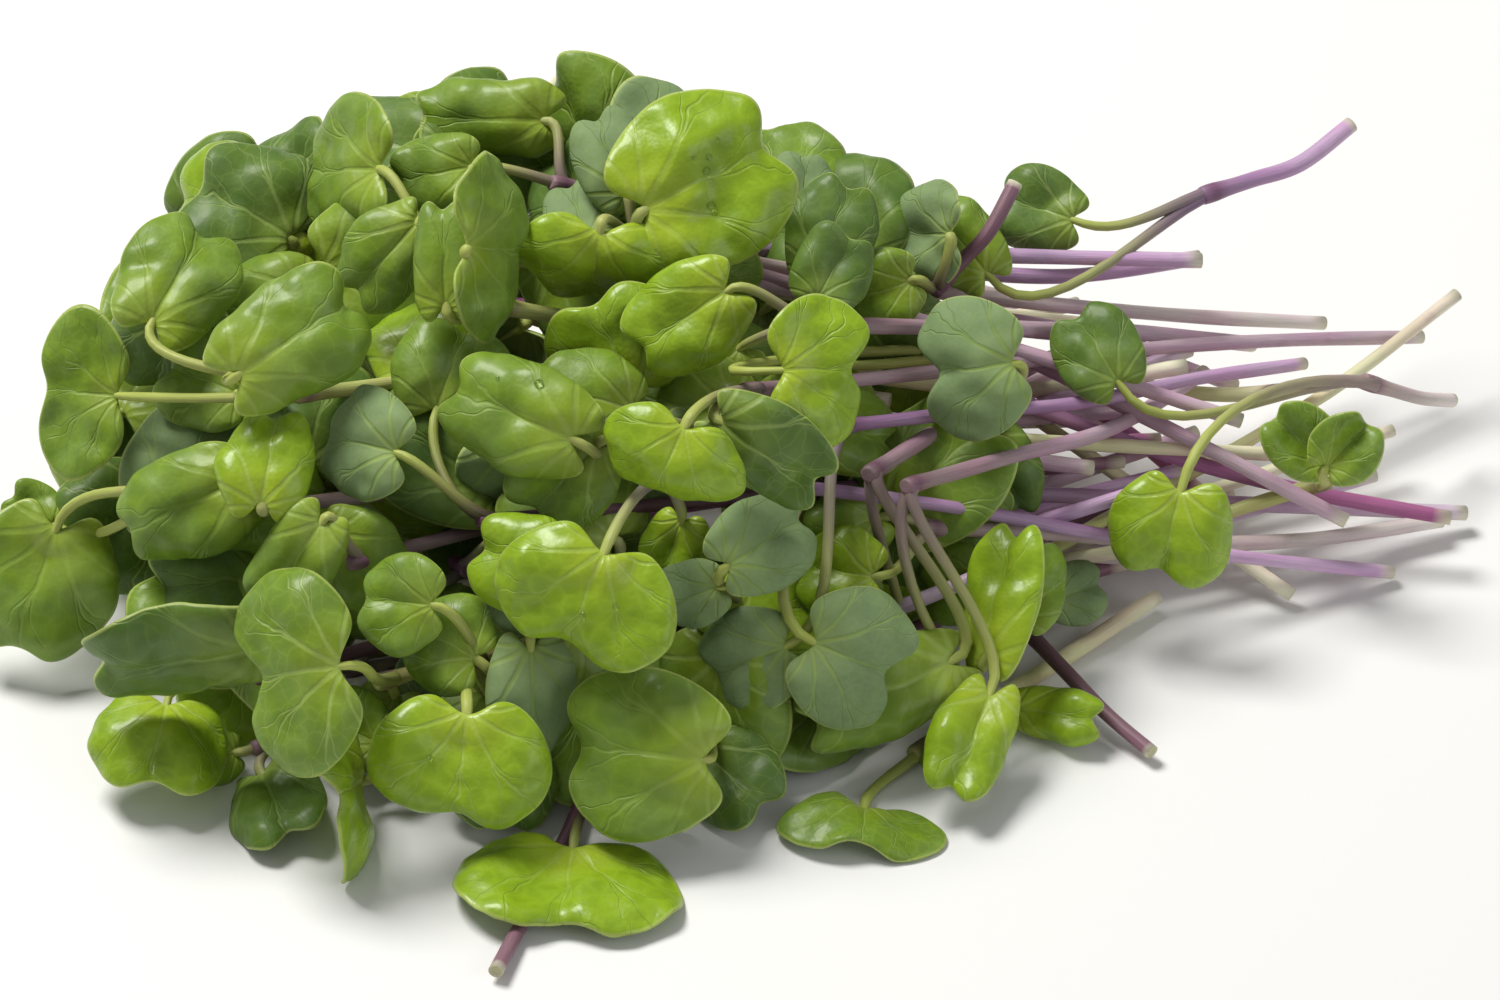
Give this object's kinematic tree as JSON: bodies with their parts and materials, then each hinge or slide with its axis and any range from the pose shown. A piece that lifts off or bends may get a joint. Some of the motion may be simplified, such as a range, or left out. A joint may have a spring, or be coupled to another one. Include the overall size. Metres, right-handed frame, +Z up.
{
  "type": "radish cress",
  "caption": "Handful of cut radish cress sprouts lying on its side, notched domed seed leaves heaped at one end, violet to pale stems running out at the other",
  "frame": {"origin": "On the table, under the middle of the handful's bounding box", "axes": "+X runs from the leaves to the cut stem ends, +Y to the back, +Z up from the table"},
  "size_m": [0.1494, 0.1038, 0.0519],
  "materials": {
    "cress": "satin"
  },
  "bodies": {
    "root": {"sprout_01": "cress", "sprout_02": "cress", "sprout_03": "cress", "sprout_04": "cress", "sprout_05": "cress", "sprout_06": "cress", "sprout_07": "cress", "sprout_08": "cress", "sprout_09": "cress", "sprout_10": "cress", "sprout_11": "cress", "sprout_12": "cress", "sprout_13": "cress", "sprout_14": "cress", "sprout_15": "cress", "sprout_16": "cress", "sprout_17": "cress", "sprout_18": "cress", "sprout_19": "cress", "sprout_20": "cress", "sprout_21": "cress", "sprout_22": "cress", "sprout_23": "cress", "sprout_24": "cress", "sprout_25": "cress", "sprout_26": "cress", "sprout_27": "cress", "sprout_28": "cress", "sprout_29": "cress", "sprout_30": "cress", "sprout_31": "cress", "sprout_32": "cress", "sprout_33": "cress", "sprout_34": "cress", "sprout_35": "cress", "sprout_36": "cress", "sprout_37": "cress", "sprout_38": "cress", "sprout_39": "cress", "sprout_40": "cress", "sprout_41": "cress", "sprout_42": "cress", "sprout_43": "cress", "sprout_44": "cress", "sprout_45": "cress", "sprout_46": "cress", "sprout_47": "cress", "sprout_48": "cress", "sprout_49": "cress", "sprout_50": "cress", "sprout_51": "cress"}
  },
  "joints": []
}
